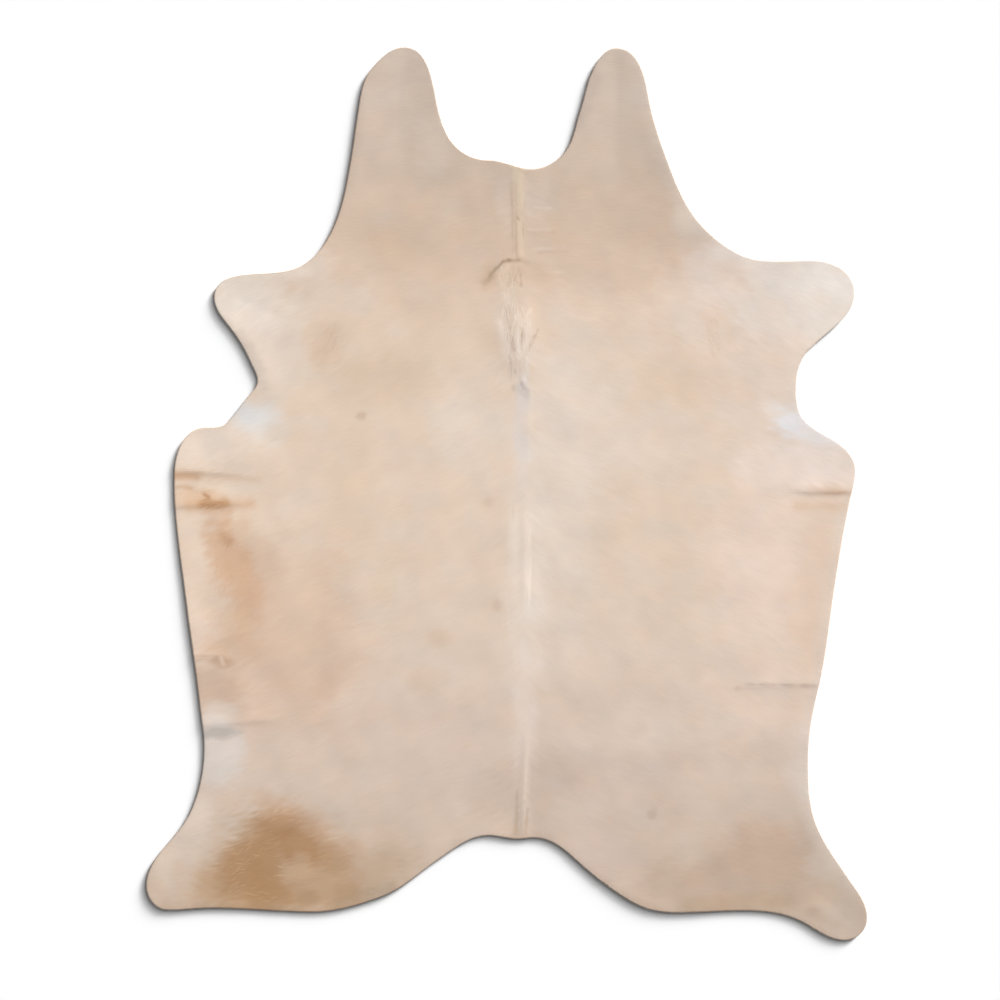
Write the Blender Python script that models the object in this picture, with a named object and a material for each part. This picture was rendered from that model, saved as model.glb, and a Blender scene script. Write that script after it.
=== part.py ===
"""A hair-on cowhide rug: one whole hide with its coat, lying flat on the floor.

Metres, +Z up. The origin is on the floor under the middle of the hide. The neck and the two ear
flaps point to +Y and the hind legs to -Y. The hide is one closed sheet: its outline is a smooth
curve through named landmarks, and its height above the floor is a formula of x and y.
"""
import math

import bmesh
import bpy
import numpy as np
from mathutils import Vector
from mathutils.geometry import delaunay_2d_cdt

HIDE_LENGTH = 2.230
HIDE_WIDTH = 1.800
LEATHER = 0.0022
COAT = 0.0018

NECK_END = HIDE_LENGTH / 2
TAIL_END = -HIDE_LENGTH / 2
LEFT_END = -HIDE_WIDTH / 2
RIGHT_END = HIDE_WIDTH / 2

# Landmarks of the outline, counter-clockwise from the poll, as the knife meets them: where each
# one lies and the heading of the cut there, in degrees from +X.
OUTLINE = (
    # name, x, y, heading
    ("poll dip", 0.062, 0.811, 180),
    ("poll hump", -0.046, 0.833, 180),
    ("left ear inner root", -0.141, 0.883, 124),
    ("left ear inner edge", -0.178, 0.991, 101),
    ("left ear tip", -0.256, NECK_END, 180),
    ("left ear shoulder", -0.338, 1.061, 230),
    ("left ear outer edge", -0.368, 0.978, 261),
    ("left neck", -0.393, 0.813, 260),
    ("left throat", -0.453, 0.628, 237),
    ("left throat corner", -0.516, 0.568, 206),
    ("left forefoot top", -0.701, 0.536, 203),
    ("left forefoot tip", -0.731, 0.491, 270),
    ("left foreleg underside", -0.688, 0.411, 307),
    ("left armpit side", -0.641, 0.331, 293),
    ("left armpit", -0.623, 0.281, 268),
    ("left armpit low", -0.646, 0.243, 231),
    ("left flank notch", -0.698, 0.178, 228),
    ("left flank top", -0.751, 0.166, 180),
    ("left flank corner", -0.808, 0.133, 237),
    ("left girth", -0.831, 0.033, 270),
    ("left side", -0.801, -0.267, 277),
    ("left belly", -0.768, -0.517, 276),
    ("left waist", -0.756, -0.634, 270),
    ("left thigh", -0.791, -0.797, 245),
    ("left hind tip", LEFT_END, -0.979, 270),
    ("left hind sole", -0.846, -1.039, 0),
    ("left sole hollow", -0.736, -1.034, 0),
    ("left heel", -0.486, -1.044, 0),
    ("left hind back", -0.316, -1.007, 20),
    ("left rump side", -0.166, -0.909, 34),
    ("left rump hump", -0.046, -0.853, 0),
    ("tail dip", 0.027, -0.862, 0),
    ("right rump hump", 0.069, -0.859, 0),
    ("right rump side", 0.184, -0.924, 318),
    ("right hind back", 0.304, -1.014, 328),
    ("right heel", 0.422, -1.046, 0),
    ("right sole hollow", 0.589, -1.041, 0),
    ("right sole", 0.734, -1.067, 334),
    ("right hind sole tip", 0.844, TAIL_END, 0),
    ("right hind tip", RIGHT_END, -1.059, 90),
    ("right hock", 0.849, -0.954, 124),
    ("right thigh", 0.774, -0.829, 112),
    ("right waist", 0.753, -0.659, 90),
    ("right belly", 0.777, -0.492, 76),
    ("right side", 0.814, -0.267, 82),
    ("right girth", 0.857, -0.017, 78),
    ("right flank corner", 0.871, 0.058, 90),
    ("right flank top", 0.822, 0.131, 147),
    ("right armpit low", 0.742, 0.186, 130),
    ("right armpit", 0.723, 0.256, 90),
    ("right armpit side", 0.749, 0.353, 50),
    ("right forefoot tip", 0.869, 0.503, 90),
    ("right forefoot top", 0.764, 0.583, 180),
    ("right throat", 0.572, 0.603, 151),
    ("right neck low", 0.484, 0.673, 131),
    ("right neck", 0.392, 0.856, 110),
    ("right ear outer edge", 0.354, 0.991, 100),
    ("right ear tip", 0.274, 1.113, 180),
    ("right ear inner shoulder", 0.219, 1.066, 242),
    ("right ear inner edge", 0.184, 0.958, 252),
    ("right ear inner root", 0.134, 0.841, 222),
)

# The rim has curled up a little, more in some places than in others.
RIM_LIFT = 0.0032
RIM_BAND = 0.150
RIM_WAVE_LENGTH = 0.62
RIM_WAVE_START_X = 1.0
RIM_WAVE_START_Y = 2.0
RIM_WAVE_SHARE = 0.35

# Creases and soft ridges. Each is a straight crest from one point to another, with a slope to its
# left, seen along the run, and one to its right. Where the start or end lies past the rim, the
# crease runs out over it.
CREASES = (
    # name, start x, start y, end x, end y, height, left slope, right slope
    ("right flank fold", 0.680, 0.006, 0.960, 0.007, 0.0009, 0.020, 0.008),
    ("right belly fold", 0.520, -0.482, 0.880, -0.474, 0.0006, 0.020, 0.007),
    ("left flank upper fold", -0.640, 0.052, -0.930, 0.060, 0.0008, 0.009, 0.024),
    ("left flank lower fold", -0.620, -0.020, -0.900, -0.032, 0.0010, 0.009, 0.022),
    ("left stifle fold", -0.680, -0.408, -0.850, -0.412, 0.0007, 0.008, 0.018),
    ("left belly fold", -0.540, -0.560, -0.860, -0.586, 0.0009, 0.008, 0.022),
    ("mid back ridge", 0.044, 0.030, 0.045, -0.330, 0.0006, 0.012, 0.012),
    ("rump ridge", 0.047, -0.560, 0.041, -0.960, 0.0006, 0.010, 0.010),
)
CREASE_FADE = 0.30

# Longer hair stands up in a low crest along the withers, below the whorl of the neck.
MANE_X = 0.034
MANE_TOP = 0.580
MANE_FOOT = 0.270
MANE_HEIGHT = 0.0025
MANE_HALF_WIDTH = 0.045

# Mesh spacing: along the rim, in the band beside it, over the flat middle and along a crease.
RIM_STEP = 0.030
RIM_TURN = math.radians(15.0)
BAND_STEP = 0.038
MIDDLE_STEP = 0.062
CREASE_STEP = 0.024
CREASE_ROWS = (-1.8, -0.8, 0.0, 0.8, 1.8)

COAT_COLOUR = (0.75, 0.62, 0.51, 1.0)
COAT_ROUGHNESS = 0.62


def direction(angle):
    return np.array([math.cos(angle), math.sin(angle)])


def smooth_step(value):
    """0 up to 0, 1 from 1 on, and a soft S between them."""
    value = np.clip(value, 0.0, 1.0)
    return value * value * (3.0 - 2.0 * value)


def outline_points():
    """Points along the rim. From one landmark to the next runs a cubic curve that follows both
    headings, with the handles that a circular arc of the same turn would have."""
    marks = [(np.array([x, y]), math.radians(heading)) for _, x, y, heading in OUTLINE]
    points = []
    for (start, out), (end, arrival) in zip(marks, marks[1:] + marks[:1]):
        chord = np.linalg.norm(end - start)
        turn = (arrival - out + math.pi) % (2.0 * math.pi) - math.pi
        reach = chord / (3.0 * math.cos(turn / 4.0) ** 2)
        first_handle = start + reach * direction(out)
        last_handle = end - reach * direction(arrival)
        count = max(2, round(chord / RIM_STEP), math.ceil(abs(turn) / RIM_TURN))
        for t in np.arange(count) / count:
            rest = 1.0 - t
            points.append(rest ** 3 * start + 3.0 * rest * rest * t * first_handle
                          + 3.0 * rest * t * t * last_handle + t ** 3 * end)
    return np.array(points)


def distance_to_rim(points, rim):
    """Shortest distance from each point to the straight runs between the rim's points."""
    run = np.roll(rim, -1, axis=0) - rim
    offset = points[:, None, :] - rim[None, :, :]
    along = (offset * run).sum(axis=2) / (run * run).sum(axis=1)
    nearest = rim + np.clip(along, 0.0, 1.0)[..., None] * run
    return np.linalg.norm(points[:, None, :] - nearest, axis=2).min(axis=1)


def inside(points, rim):
    """Whether each point lies within the rim: a ray to +X crosses the rim an odd number of
    times."""
    x, y = points[:, 0][:, None], points[:, 1][:, None]
    x0, y0 = rim[:, 0], rim[:, 1]
    x1, y1 = np.roll(x0, -1), np.roll(y0, -1)
    spans = (y0 > y) != (y1 > y)
    crossing = x0 + (y - y0) / np.where(y1 == y0, 1.0, y1 - y0) * (x1 - x0)
    return (spans & (x < crossing)).sum(axis=1) % 2 == 1


def crease_height(points, crease):
    """Height of one crease: a crest that fades at both ends, with a bell-shaped slope on each
    side."""
    _, start_x, start_y, end_x, end_y, height, left_slope, right_slope = crease
    start = np.array([start_x, start_y])
    run = np.array([end_x, end_y]) - start
    length = np.linalg.norm(run)
    along = (points - start) @ run / length ** 2
    across = (points - start) @ np.array([-run[1], run[0]]) / length
    slope = np.where(across > 0.0, left_slope, right_slope)
    window = smooth_step(along / CREASE_FADE) * smooth_step((1.0 - along) / CREASE_FADE)
    return height * window * np.exp(-(across / slope) ** 2)


def relief(points, rim):
    """Height of the leather's underside over the floor: the curled rim and the creases, and
    nothing over the rest, which lies flat. The curl is uneven by the product of two waves, one
    across the hide and one along it."""
    nearness = np.clip(1.0 - distance_to_rim(points, rim) / RIM_BAND, 0.0, 1.0)
    phase = 2.0 * math.pi / RIM_WAVE_LENGTH
    wave_across = np.sin(phase * points[:, 0] + RIM_WAVE_START_X)
    wave = wave_across * np.sin(phase * points[:, 1] + RIM_WAVE_START_Y)
    lift = RIM_LIFT * nearness ** 2 * (1.0 + RIM_WAVE_SHARE * wave)
    return lift + sum(crease_height(points, crease) for crease in CREASES)


def thickness(points):
    """Leather and flat-lying coat, with the crest of longer hair along the withers."""
    middle = (MANE_TOP + MANE_FOOT) / 2.0
    half_length = (MANE_TOP - MANE_FOOT) / 2.0
    along = np.clip(1.0 - np.abs(points[:, 1] - middle) / half_length, 0.0, 1.0)
    across = np.exp(-((points[:, 0] - MANE_X) / MANE_HALF_WIDTH) ** 2)
    return LEATHER + COAT + MANE_HEIGHT * smooth_step(2.0 * along) * across


def staggered_grid(step):
    """Points of even triangles over the whole box of the hide."""
    row_step = step * math.sqrt(3.0) / 2.0
    rows = np.arange(TAIL_END, NECK_END, row_step)
    columns = np.arange(LEFT_END, RIGHT_END, step)
    x, y = np.meshgrid(columns, rows)
    x = x + step / 2.0 * (np.arange(len(rows)) % 2)[:, None]
    return np.column_stack([x.ravel(), y.ravel()])


def crease_points(crease):
    """Rows of points along a crest and down its two slopes."""
    _, start_x, start_y, end_x, end_y, _, left_slope, right_slope = crease
    start = np.array([start_x, start_y])
    run = np.array([end_x, end_y]) - start
    length = np.linalg.norm(run)
    side = np.array([-run[1], run[0]]) / length
    stations = np.linspace(0.0, 1.0, round(length / CREASE_STEP) + 1)
    rows = []
    for row in CREASE_ROWS:
        slope = left_slope if row > 0.0 else right_slope
        rows.append(start + stations[:, None] * run + row * slope * side)
    return np.concatenate(rows)


def inner_points(rim):
    """Points inside the rim: along the creases, close together beside the rim and further apart
    over the flat middle."""
    chosen = np.concatenate([crease_points(crease) for crease in CREASES])
    chosen = chosen[inside(chosen, rim)]
    chosen = chosen[distance_to_rim(chosen, rim) > RIM_STEP / 3.0]
    for step, nearest, furthest in ((BAND_STEP, BAND_STEP / 2.0, RIM_BAND),
                                    (MIDDLE_STEP, RIM_BAND, math.inf)):
        grid = staggered_grid(step)
        grid = grid[inside(grid, rim)]
        depth = distance_to_rim(grid, rim)
        grid = grid[(depth > nearest) & (depth <= furthest)]
        gap = np.linalg.norm(grid[:, None, :] - chosen[None, :, :], axis=2).min(axis=1)
        chosen = np.concatenate([chosen, grid[gap > step / 2.0]])
    return chosen


def sheet_mesh():
    """The hide as one closed sheet: the same triangles above and below, joined by a wall around
    the rim."""
    rim = outline_points()
    plan = np.concatenate([rim, inner_points(rim)])
    count = len(rim)
    loop = [(i, (i + 1) % count) for i in range(count)]
    flat, _, triangles, _, _, _ = delaunay_2d_cdt([Vector(p) for p in plan], loop, [], 1, 1e-6)
    plan = np.array([tuple(p) for p in flat])
    underside = relief(plan, rim)
    top = underside + thickness(plan)

    mesh = bpy.data.meshes.new("cowhide")
    bm = bmesh.new()
    upper = [bm.verts.new((x, y, z)) for (x, y), z in zip(plan, top)]
    lower = [bm.verts.new((x, y, z)) for (x, y), z in zip(plan, underside)]
    for a, b, c in triangles:
        bm.faces.new((upper[a], upper[b], upper[c]))
        bm.faces.new((lower[c], lower[b], lower[a]))
    for a, b in loop:
        bm.faces.new((upper[a], lower[a], lower[b], upper[b]))
    bmesh.ops.recalc_face_normals(bm, faces=bm.faces)
    bmesh.ops.triangulate(bm, faces=bm.faces)
    bm.to_mesh(mesh)
    bm.free()
    return mesh


def coat_material():
    material = bpy.data.materials.new("coat")
    material.use_nodes = True
    shader = material.node_tree.nodes["Principled BSDF"]
    shader.inputs["Base Color"].default_value = COAT_COLOUR
    shader.inputs["Roughness"].default_value = COAT_ROUGHNESS
    shader.inputs["Metallic"].default_value = 0.0
    return material


def build():
    for old in list(bpy.data.objects):
        bpy.data.objects.remove(old, do_unlink=True)
    mesh = sheet_mesh()
    mesh.materials.append(coat_material())
    mesh.shade_smooth()
    mesh.set_sharp_from_angle(angle=math.radians(40.0))
    hide = bpy.data.objects.new("cowhide", mesh)
    bpy.context.scene.collection.objects.link(hide)


build()
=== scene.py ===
import math

import bpy
import numpy as np
from mathutils.geometry import delaunay_2d_cdt
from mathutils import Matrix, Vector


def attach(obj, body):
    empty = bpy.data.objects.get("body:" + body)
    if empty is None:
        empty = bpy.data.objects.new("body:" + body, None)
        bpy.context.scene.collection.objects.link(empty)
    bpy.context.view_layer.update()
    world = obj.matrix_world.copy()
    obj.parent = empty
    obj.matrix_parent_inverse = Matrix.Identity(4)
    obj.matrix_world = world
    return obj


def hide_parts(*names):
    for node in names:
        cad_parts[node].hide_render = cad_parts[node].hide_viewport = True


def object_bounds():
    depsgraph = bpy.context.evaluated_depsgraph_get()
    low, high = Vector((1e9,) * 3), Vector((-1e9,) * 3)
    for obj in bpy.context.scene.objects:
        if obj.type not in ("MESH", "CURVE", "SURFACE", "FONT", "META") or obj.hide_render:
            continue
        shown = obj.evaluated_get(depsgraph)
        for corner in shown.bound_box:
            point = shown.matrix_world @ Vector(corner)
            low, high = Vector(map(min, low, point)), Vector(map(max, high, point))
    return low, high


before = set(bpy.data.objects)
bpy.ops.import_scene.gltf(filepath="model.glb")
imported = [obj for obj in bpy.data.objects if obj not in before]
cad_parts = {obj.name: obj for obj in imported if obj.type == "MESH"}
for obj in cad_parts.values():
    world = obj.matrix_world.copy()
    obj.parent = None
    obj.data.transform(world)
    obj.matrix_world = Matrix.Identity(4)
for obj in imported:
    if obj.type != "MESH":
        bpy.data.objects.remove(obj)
cad_low, cad_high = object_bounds()

# The leather: one whole skin, tanned with its hair on, shaved on the flesh side to an even
# thickness and trimmed with a knife. It lies flat, with its rim a little curled and a few creases
# left from folding. Metres, +Z up, the neck to +Y.
NECK_END = cad_high.y
TAIL_END = cad_low.y
LEFT_END = cad_low.x
RIGHT_END = cad_high.x
LEATHER = 0.0022

OUTLINE = (
    # name, x, y, heading of the cut in degrees from +X
    ("poll dip", 0.062, 0.811, 180),
    ("poll hump", -0.046, 0.833, 180),
    ("left ear inner root", -0.141, 0.883, 124),
    ("left ear inner edge", -0.178, 0.991, 101),
    ("left ear tip", -0.256, NECK_END, 180),
    ("left ear shoulder", -0.338, 1.061, 230),
    ("left ear outer edge", -0.368, 0.978, 261),
    ("left neck", -0.393, 0.813, 260),
    ("left throat", -0.453, 0.628, 237),
    ("left throat corner", -0.516, 0.568, 206),
    ("left forefoot top", -0.701, 0.536, 203),
    ("left forefoot tip", -0.731, 0.491, 270),
    ("left foreleg underside", -0.688, 0.411, 307),
    ("left armpit side", -0.641, 0.331, 293),
    ("left armpit", -0.623, 0.281, 268),
    ("left armpit low", -0.646, 0.243, 231),
    ("left flank notch", -0.698, 0.178, 228),
    ("left flank top", -0.751, 0.166, 180),
    ("left flank corner", -0.808, 0.133, 237),
    ("left girth", -0.831, 0.033, 270),
    ("left side", -0.801, -0.267, 277),
    ("left belly", -0.768, -0.517, 276),
    ("left waist", -0.756, -0.634, 270),
    ("left thigh", -0.791, -0.797, 245),
    ("left hind tip", LEFT_END, -0.979, 270),
    ("left hind sole", -0.846, -1.039, 0),
    ("left sole hollow", -0.736, -1.034, 0),
    ("left heel", -0.486, -1.044, 0),
    ("left hind back", -0.316, -1.007, 20),
    ("left rump side", -0.166, -0.909, 34),
    ("left rump hump", -0.046, -0.853, 0),
    ("tail dip", 0.027, -0.862, 0),
    ("right rump hump", 0.069, -0.859, 0),
    ("right rump side", 0.184, -0.924, 318),
    ("right hind back", 0.304, -1.014, 328),
    ("right heel", 0.422, -1.046, 0),
    ("right sole hollow", 0.589, -1.041, 0),
    ("right sole", 0.734, -1.067, 334),
    ("right hind sole tip", 0.844, TAIL_END, 0),
    ("right hind tip", RIGHT_END, -1.059, 90),
    ("right hock", 0.849, -0.954, 124),
    ("right thigh", 0.774, -0.829, 112),
    ("right waist", 0.753, -0.659, 90),
    ("right belly", 0.777, -0.492, 76),
    ("right side", 0.814, -0.267, 82),
    ("right girth", 0.857, -0.017, 78),
    ("right flank corner", 0.871, 0.058, 90),
    ("right flank top", 0.822, 0.131, 147),
    ("right armpit low", 0.742, 0.186, 130),
    ("right armpit", 0.723, 0.256, 90),
    ("right armpit side", 0.749, 0.353, 50),
    ("right forefoot tip", 0.869, 0.503, 90),
    ("right forefoot top", 0.764, 0.583, 180),
    ("right throat", 0.572, 0.603, 151),
    ("right neck low", 0.484, 0.673, 131),
    ("right neck", 0.392, 0.856, 110),
    ("right ear outer edge", 0.354, 0.991, 100),
    ("right ear tip", 0.274, 1.113, 180),
    ("right ear inner shoulder", 0.219, 1.066, 242),
    ("right ear inner edge", 0.184, 0.958, 252),
    ("right ear inner root", 0.134, 0.841, 222),
)
RIM_STEP = 0.005

RIM_LIFT = 0.0032
RIM_BAND = 0.150
RIM_WAVE_LENGTH = 0.62
RIM_WAVE_START_X = 1.0
RIM_WAVE_START_Y = 2.0
RIM_WAVE_SHARE = 0.35

CREASES = (
    # name, start x, start y, end x, end y, height, left slope, right slope
    ("right flank fold", 0.68, 0.006, 0.96, 0.007, 0.0009, 0.02, 0.008),
    ("right belly fold", 0.52, -0.482, 0.88, -0.474, 0.0006, 0.02, 0.007),
    ("left flank upper fold", -0.64, 0.052, -0.93, 0.06, 0.0008, 0.009, 0.024),
    ("left flank lower fold", -0.62, -0.02, -0.9, -0.032, 0.001, 0.009, 0.022),
    ("left stifle fold", -0.68, -0.408, -0.85, -0.412, 0.0007, 0.008, 0.018),
    ("left belly fold", -0.54, -0.56, -0.86, -0.586, 0.0009, 0.008, 0.022),
    ("mid back ridge", 0.044, 0.03, 0.045, -0.33, 0.0006, 0.012, 0.012),
    ("rump ridge", 0.047, -0.56, 0.041, -0.96, 0.0006, 0.01, 0.01),
)
CREASE_FADE = 0.30
CREASE_STEP = 0.0055
FOLD_LEAST = 0.0001

DEPTH_PITCH = 0.008
DEPTH_MARGIN = 0.040
DEPTH_RIM_STRIDE = 3
DEPTH_BLOCK = 2000

INSIDE_ONLY = 1
MERGE_DISTANCE = 1e-7
LEATHER_EDGE = (
    # inset from the hair's edge, share of the leather's thickness
    (0.0036, 0.0),
    (0.0028, 0.1),
    (0.0025, 0.5),
    (0.0028, 0.9),
    (0.0036, 1.0),
)
LEATHER_STEP = 0.016

SUEDE_COLOUR = (0.560, 0.470, 0.370, 1.0)
SUEDE_SHADE = (0.440, 0.350, 0.260, 1.0)
VEIN_COLOUR = (0.330, 0.250, 0.180, 1.0)


def smooth_step(value):
    """0 up to 0, 1 from 1 on, and the S curve 3v^2 - 2v^3 between them."""
    value = np.clip(value, 0.0, 1.0)
    return value * value * (3.0 - 2.0 * value)


def unit(vectors):
    """Each row made one long."""
    return vectors / np.linalg.norm(vectors, axis=1)[:, None]


def rim_curve(step):
    """The cut line as points about one step apart. From landmark A to landmark D runs the cubic
    (1-t)^3 A + 3(1-t)^2 t B + 3(1-t) t^2 C + t^3 D. The handles B and C follow the headings and are
    as long as a circular arc of the same turn would have them: chord / (3 cos^2(turn / 4))."""
    marks = [(np.array([x, y]), math.radians(heading)) for _, x, y, heading in OUTLINE]
    stretches = []
    for (start, out), (end, arrival) in zip(marks, marks[1:] + marks[:1]):
        chord = np.linalg.norm(end - start)
        turn = (arrival - out + math.pi) % (2.0 * math.pi) - math.pi
        reach = chord / (3.0 * math.cos(turn / 4.0) ** 2)
        first = start + reach * np.array([math.cos(out), math.sin(out)])
        last = end - reach * np.array([math.cos(arrival), math.sin(arrival)])
        count = math.ceil(chord * (1.0 + turn * turn / 24.0) / step)
        t = (np.arange(count) / count)[:, None]
        stretches.append((1 - t) ** 3 * start + 3 * (1 - t) ** 2 * t * first
                         + 3 * (1 - t) * t * t * last + t ** 3 * end)
    return np.concatenate(stretches)


def signed_depth(points, rim):
    """How far each point lies inside the rim, negative outside: the shortest distance to the
    rim's runs, with its sign from how often a ray to +X crosses them."""
    run = np.roll(rim, -1, axis=0) - rim
    square = (run * run).sum(axis=1)
    result = []
    for block in np.array_split(points, max(1, len(points) // DEPTH_BLOCK)):
        offset = block[:, None, :] - rim[None, :, :]
        along = np.clip((offset * run).sum(axis=2) / square, 0.0, 1.0)
        gap = np.linalg.norm(offset - along[..., None] * run, axis=2).min(axis=1)
        spans = (offset[..., 1] < 0.0) != (offset[..., 1] < run[:, 1])
        rise = np.where(run[:, 1] == 0.0, 1.0, run[:, 1])
        right = offset[..., 0] < offset[..., 1] / rise * run[:, 0]
        odd = (spans & right).sum(axis=1) % 2 == 1
        result.append(np.where(odd, gap, -gap))
    return np.concatenate(result)


def depth(points):
    """The signed depth read from its lattice: the mean of the four corners around each point,
    weighted by how near it is to each."""
    place = (points - depth_corner) / DEPTH_PITCH
    cell = np.clip(place.astype(int), 0, np.array(depth_lattice.shape)[::-1] - 2)
    share = np.clip(place - cell, 0.0, 1.0)
    i, j, u, v = cell[..., 0], cell[..., 1], share[..., 0], share[..., 1]
    low = depth_lattice[j, i] * (1 - u) + depth_lattice[j, i + 1] * u
    high = depth_lattice[j + 1, i] * (1 - u) + depth_lattice[j + 1, i + 1] * u
    return low * (1 - v) + high * v


def crease_height(points, crease):
    """A crest from start to end that fades at both, with a bell-shaped slope on each side:
    height times both fades times exp(-(distance across / slope)^2)."""
    _, start_x, start_y, end_x, end_y, height, left_slope, right_slope = crease
    run = np.array([end_x - start_x, end_y - start_y])
    length = np.linalg.norm(run)
    offset = points - np.array([start_x, start_y])
    along = offset @ run / length ** 2
    across = offset @ np.array([-run[1], run[0]]) / length
    slope = np.where(across > 0.0, left_slope, right_slope)
    window = smooth_step(along / CREASE_FADE) * smooth_step((1.0 - along) / CREASE_FADE)
    return height * window * np.exp(-(across / slope) ** 2)


def folded(points):
    """Height that the creases add."""
    return sum(crease_height(points, crease) for crease in CREASES)


def underside(points):
    """Height of the leather's flesh side over the floor: the curl of the rim, (1 - depth / band)^2
    made uneven by two crossed waves, and the creases. The rest lies on the floor."""
    nearness = np.clip(1.0 - depth(points) / RIM_BAND, 0.0, 1.0)
    phase = 2.0 * math.pi / RIM_WAVE_LENGTH
    wave_across = np.sin(phase * points[..., 0] + RIM_WAVE_START_X)
    wave = wave_across * np.sin(phase * points[..., 1] + RIM_WAVE_START_Y)
    lift = RIM_LIFT * nearness ** 2 * (1.0 + RIM_WAVE_SHARE * wave)
    return lift + folded(points)


def leather_top(points):
    """The hair side of the leather: one thickness above the flesh side."""
    return underside(points) + LEATHER


def staggered_grid(step):
    """Points of even triangles over the hide's box: rows step * sqrt(3) / 2 apart, every second
    one moved half a step."""
    rows = np.arange(TAIL_END, NECK_END, step * math.sqrt(3.0) / 2.0)
    x, y = np.meshgrid(np.arange(LEFT_END, RIGHT_END, step), rows)
    x = x + step / 2.0 * (np.arange(len(rows)) % 2)[:, None]
    return np.column_stack([x.ravel(), y.ravel()])


def within(points, zone):
    """Which points lie in a zone's box."""
    _, low_x, low_y, high_x, high_y, _ = zone
    inside = (points[:, 0] >= low_x) & (points[:, 0] < high_x)
    return inside & (points[:, 1] >= low_y) & (points[:, 1] < high_y)


def cap(ring, inset, step, zones):
    """The plan of one face of a sheet: its last ring and an even grid within it, which is finer
    on the creases and in each zone, as points and triangles."""
    plain = staggered_grid(step)
    plain = plain[folded(plain) < FOLD_LEAST]
    fine = staggered_grid(min(step, CREASE_STEP))
    fine = fine[folded(fine) >= FOLD_LEAST]
    for zone in zones:
        plain = plain[~within(plain, zone)]
        fine = fine[~within(fine, zone)]
    grids = [(plain, step), (fine, CREASE_STEP)]
    for zone in zones:
        zone_step = zone[-1]
        grid = staggered_grid(zone_step)
        grids.append((grid[within(grid, zone)], zone_step))
    grid = np.concatenate([grid[depth(grid) > inset + pitch / 2.0] for grid, pitch in grids])
    plan = np.concatenate([ring, grid])
    loop = [(i, (i + 1) % len(ring)) for i in range(len(ring))]
    triangles = delaunay_2d_cdt(plan.tolist(), loop, [], INSIDE_ONLY, MERGE_DISTANCE)[2]
    return plan, np.array(triangles)


def solid(name, vertices, triangles):
    """A smooth-shaded object at the origin from an array of points and one of corner triples."""
    mesh = bpy.data.meshes.new(name)
    mesh.vertices.add(len(vertices))
    mesh.vertices.foreach_set("co", vertices.astype(np.float32).ravel())
    mesh.loops.add(triangles.size)
    mesh.loops.foreach_set("vertex_index", triangles.astype(np.int32).ravel())
    mesh.polygons.add(len(triangles))
    mesh.polygons.foreach_set("loop_start", np.arange(0, triangles.size, 3, dtype=np.int32))
    mesh.update(calc_edges=True)
    mesh.shade_smooth()
    piece = bpy.data.objects.new(name, mesh)
    bpy.context.scene.collection.objects.link(piece)
    return piece


def sheet(name, edge, low, high, low_step, high_step, high_zones=()):
    """A closed sheet between the surfaces low(x, y) and high(x, y). Its wall is the edge's profile
    carried round the rim: each row is a ring moved in by its inset, at low + share * (high - low).
    A grid closes the first ring below and another closes the last ring above."""
    insets = np.array([inset for inset, _ in edge])
    shares = np.array([share for _, share in edge])
    rings = rim[None] + insets[:, None, None] * inward[None]
    bottom = low(rings)
    wall_z = bottom + shares[:, None] * (high(rings) - bottom)
    wall = np.concatenate([rings, wall_z[..., None]], axis=2).reshape(-1, 3)

    count, last = len(rim), len(edge) - 1
    i = np.arange(count)
    j = (i + 1) % count
    bands = [np.stack([r * count + i, r * count + j, (r + 1) * count + j, (r + 1) * count + i], 1)
             for r in range(last)]
    quads = np.concatenate(bands)
    faces = [quads[:, [0, 1, 2]], quads[:, [0, 2, 3]]]

    parts, total = [wall], len(wall)
    for first_corner, ring, inset, step, zones, surface, order in (
            (0, rings[0], insets[0], low_step, (), low, [0, 2, 1]),
            (last * count, rings[-1], insets[-1], high_step, high_zones, high, [0, 1, 2])):
        plan, triangles = cap(ring, inset, step, zones)
        inner = plan[count:]
        parts.append(np.column_stack([inner, surface(inner)]))
        number = np.where(triangles < count, triangles + first_corner, triangles - count + total)
        faces.append(number[:, order])
        total += len(inner)
    return solid(name, np.concatenate(parts), np.concatenate(faces))


rim = rim_curve(RIM_STEP)
tangent = np.roll(rim, -1, axis=0) - np.roll(rim, 1, axis=0)
inward = unit(np.stack([-tangent[:, 1], tangent[:, 0]], axis=1))

depth_corner = np.array([LEFT_END - DEPTH_MARGIN, TAIL_END - DEPTH_MARGIN])
lattice_x = np.arange(depth_corner[0], RIGHT_END + DEPTH_MARGIN, DEPTH_PITCH)
lattice_y = np.arange(depth_corner[1], NECK_END + DEPTH_MARGIN, DEPTH_PITCH)
lattice = np.stack(np.meshgrid(lattice_x, lattice_y), axis=2)
depth_lattice = signed_depth(lattice.reshape(-1, 2), rim[::DEPTH_RIM_STRIDE])
depth_lattice = depth_lattice.reshape(lattice.shape[:2])

leather = sheet("leather", LEATHER_EDGE, underside, leather_top, LEATHER_STEP, LEATHER_STEP * 2)


def new_material(name):
    """An empty node material, its tree and its Principled shader."""
    material = bpy.data.materials.new(name)
    material.use_nodes = True
    return material, material.node_tree, material.node_tree.nodes["Principled BSDF"]


def node(tree, kind, values=None, **settings):
    """A node with its settings, and with its inputs set or linked by name or number."""
    made = tree.nodes.new(kind)
    for setting, value in settings.items():
        setattr(made, setting, value)
    for name, value in (values or {}).items():
        if isinstance(value, bpy.types.NodeSocket):
            tree.links.new(value, made.inputs[name])
        else:
            made.inputs[name].default_value = value
    return made


def mixed(tree, share, first, second):
    """The colour that lies share of the way from first to second."""
    return node(tree, "ShaderNodeMix", {0: share, 6: first, 7: second},
                data_type="RGBA").outputs[2]


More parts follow.
